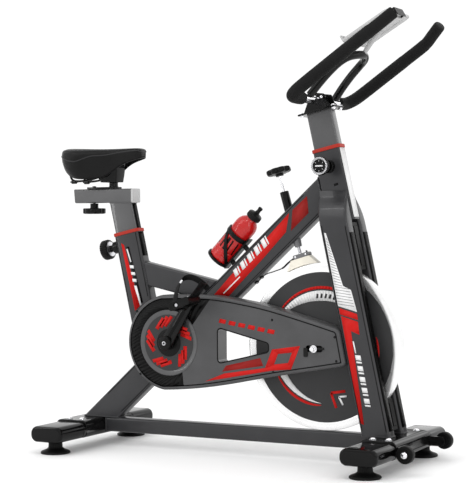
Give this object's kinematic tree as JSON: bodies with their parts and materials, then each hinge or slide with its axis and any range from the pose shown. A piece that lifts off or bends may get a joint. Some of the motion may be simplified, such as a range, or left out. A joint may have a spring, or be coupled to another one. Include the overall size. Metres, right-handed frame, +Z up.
{
  "type": "indoor spin bike",
  "caption": "Indoor exercise bike with a chain-driven flywheel between two front legs, height-adjustable saddle and handlebar posts, a screw-down brake and a bottle.",
  "frame": {"origin": "on the floor, under the middle of the bike's box", "axes": "+X forwards, from the saddle towards the handlebar; +Y to the rider's left; +Z up"},
  "size_m": [1.1397, 0.497, 1.214],
  "materials": {
    "frame_paint": "glossy charcoal",
    "post_paint": "satin grey",
    "panel_paint": "glossy near-black",
    "black_plastic": "satin",
    "gloss_black": "glossy",
    "collar_red": "satin orange-red",
    "cover_grey": "glossy grey with red and black marks",
    "steel": "brushed",
    "chrome": "polished",
    "black_steel": "glossy black",
    "wheel_iron": "dark face and polished rim",
    "brake_grey": "satin grey",
    "felt": "cream felt",
    "saddle_cover": "black leatherette",
    "grip_foam": "matte foam",
    "white_plastic": "white",
    "bottle_red": "translucent red",
    "rubber": "matte"
  },
  "bodies": {
    "frame": {"main_beam": "frame_paint", "head_tube": "frame_paint", "seat_tube": "frame_paint", "seat_brace": "frame_paint", "right_leg": "frame_paint", "left_leg": "frame_paint", "upper_leg_panel": "panel_paint", "lower_leg_panel": "panel_paint", "base_tube": "frame_paint", "rear_cross_foot": "black_steel", "front_cross_foot": "black_steel", "rear_right_foot_cap": "gloss_black", "rear_left_foot_cap": "gloss_black", "front_right_foot_cap": "gloss_black", "front_left_foot_cap": "gloss_black", "seat_collar": "collar_red", "head_collar": "collar_red", "bottom_bracket": "steel", "inner_chain_cover": "black_plastic", "outer_chain_cover": "cover_grey", "drive_chain": "steel", "flywheel_axle": "steel", "right_dropout": "black_steel", "left_dropout": "black_steel", "brake_sleeve": "black_steel", "brake_return_wire": "black_steel", "bottle_cage": "black_plastic"},
    "seat_post": {"seat_post": "post_paint", "saddle_slide_tube": "post_paint"},
    "seat_pin": {"seat_pin": "black_plastic"},
    "saddle_carriage": {"saddle_carriage": "black_steel"},
    "carriage_knob": {"carriage_knob": "black_plastic"},
    "saddle": {"saddle_clamp": "black_steel", "saddle_cushion": "saddle_cover"},
    "handlebar_post": {"handlebar_post": "post_paint", "handlebar_clamp": "black_steel", "handlebar": "grip_foam", "handlebar_hoop": "black_steel", "tablet_holder": "white_plastic"},
    "head_pin": {"head_pin": "black_plastic"},
    "tablet_clip": {"tablet_clip": "black_plastic"},
    "flywheel": {"flywheel_disc": "wheel_iron", "freewheel_sprocket": "steel"},
    "crankset": {"chainring_and_spindle": "steel", "right_crank": "black_steel", "left_crank": "black_steel"},
    "right_pedal": {"right_pedal": "black_plastic"},
    "left_pedal": {"left_pedal": "black_plastic"},
    "brake_rod": {"brake_rod": "chrome"},
    "brake_knob": {"brake_knob": "black_plastic"},
    "brake_pad": {"brake_pad_holder": "brake_grey", "brake_pad": "felt"},
    "bottle": {"bottle_body": "bottle_red", "bottle_cap": "black_plastic"},
    "right_transport_wheel": {"right_transport_wheel": "rubber"},
    "left_transport_wheel": {"left_transport_wheel": "rubber"},
    "rear_right_leveller": {"rear_right_leveller": "rubber"},
    "rear_left_leveller": {"rear_left_leveller": "rubber"},
    "front_right_leveller": {"front_right_leveller": "rubber"},
    "front_left_leveller": {"front_left_leveller": "rubber"}
  },
  "joints": [
    {"name": "seat_height", "type": "slide", "parent": "frame", "child": "seat_post", "axis": [-0.2164, 0, 0.9763], "range_m": [-0.05, 0.1]},
    {"name": "seat_pin_pull", "type": "slide", "parent": "frame", "child": "seat_pin", "axis": [-0.9763, 0, -0.2164], "range_m": [0, 0.008], "stiffness_N_per_m": 400},
    {"name": "saddle_fore_aft", "type": "slide", "parent": "seat_post", "child": "saddle_carriage", "axis": [1, 0, 0], "range_m": [-0.03, 0.025]},
    {"name": "carriage_knob_turn", "type": "hinge", "parent": "saddle_carriage", "child": "carriage_knob", "pos_m": [-0.488, 0, 0.71], "axis": [0, 0, 1], "range_deg": [0, 360]},
    {"name": "saddle_tilt", "type": "hinge", "parent": "saddle_carriage", "child": "saddle", "pos_m": [-0.42, 0, 0.786], "axis": [0, 1, 0], "range_deg": [-8, 8]},
    {"name": "handlebar_height", "type": "slide", "parent": "frame", "child": "handlebar_post", "axis": [-0.2164, 0, 0.9763], "range_m": [-0.045, 0.08]},
    {"name": "head_pin_pull", "type": "slide", "parent": "frame", "child": "head_pin", "axis": [0, -1, 0], "range_m": [0, 0.008], "stiffness_N_per_m": 400},
    {"name": "tablet_clip_pull", "type": "slide", "parent": "handlebar_post", "child": "tablet_clip", "axis": [0.866, 0, 0.5], "range_m": [0, 0.04], "stiffness_N_per_m": 60},
    {"name": "flywheel_spin", "type": "hinge", "parent": "frame", "child": "flywheel", "pos_m": [0.2572, 0, 0.3117], "axis": [0, 1, 0], "continuous": true},
    {"name": "crank_spin", "type": "hinge", "parent": "frame", "child": "crankset", "pos_m": [-0.195, 0, 0.3135], "axis": [0, 1, 0], "continuous": true},
    {"name": "right_pedal_spin", "type": "hinge", "parent": "crankset", "child": "right_pedal", "pos_m": [-0.11903, -0.127, 0.4257], "axis": [0, 1, 0], "continuous": true},
    {"name": "left_pedal_spin", "type": "hinge", "parent": "crankset", "child": "left_pedal", "pos_m": [-0.27097, 0.127, 0.2013], "axis": [0, 1, 0], "continuous": true},
    {"name": "brake_press", "type": "slide", "parent": "frame", "child": "brake_rod", "axis": [0.2756, 0, -0.9613], "range_m": [0, 0.0012], "stiffness_N_per_m": 6000},
    {"name": "brake_knob_turn", "type": "hinge", "parent": "brake_rod", "child": "brake_knob", "pos_m": [0.12371, 0, 0.77724], "axis": [-0.2756, 0, 0.9613], "range_deg": [0, 360]},
    {"name": "brake_pad_feed", "type": "slide", "parent": "brake_rod", "child": "brake_pad", "axis": [0.2756, 0, -0.9613], "range_m": [0, 0.0012]},
    {"name": "bottle_lift", "type": "slide", "parent": "frame", "child": "bottle", "axis": [0.6947, 0, 0.7193], "range_m": [0, 0.06]},
    {"name": "right_transport_wheel_spin", "type": "hinge", "parent": "frame", "child": "right_transport_wheel", "pos_m": [0.5465, -0.141, 0.057], "axis": [0, 1, 0], "continuous": true},
    {"name": "left_transport_wheel_spin", "type": "hinge", "parent": "frame", "child": "left_transport_wheel", "pos_m": [0.5465, 0.141, 0.057], "axis": [0, 1, 0], "continuous": true},
    {"name": "rear_right_leveller_turn", "type": "hinge", "parent": "frame", "child": "rear_right_leveller", "pos_m": [-0.4936, -0.2, 0], "axis": [0, 0, 1], "continuous": true},
    {"name": "rear_left_leveller_turn", "type": "hinge", "parent": "frame", "child": "rear_left_leveller", "pos_m": [-0.4936, 0.2, 0], "axis": [0, 0, 1], "continuous": true},
    {"name": "front_right_leveller_turn", "type": "hinge", "parent": "frame", "child": "front_right_leveller", "pos_m": [0.46, -0.2, 0], "axis": [0, 0, 1], "continuous": true},
    {"name": "front_left_leveller_turn", "type": "hinge", "parent": "frame", "child": "front_left_leveller", "pos_m": [0.46, 0.2, 0], "axis": [0, 0, 1], "continuous": true}
  ],
  "couplings": [
    {"joint": "crank_spin", "follows": "flywheel_spin", "ratio": 0.42857},
    {"joint": "brake_pad_feed", "follows": "brake_knob_turn", "m_per_rad": 0.00019099}
  ]
}
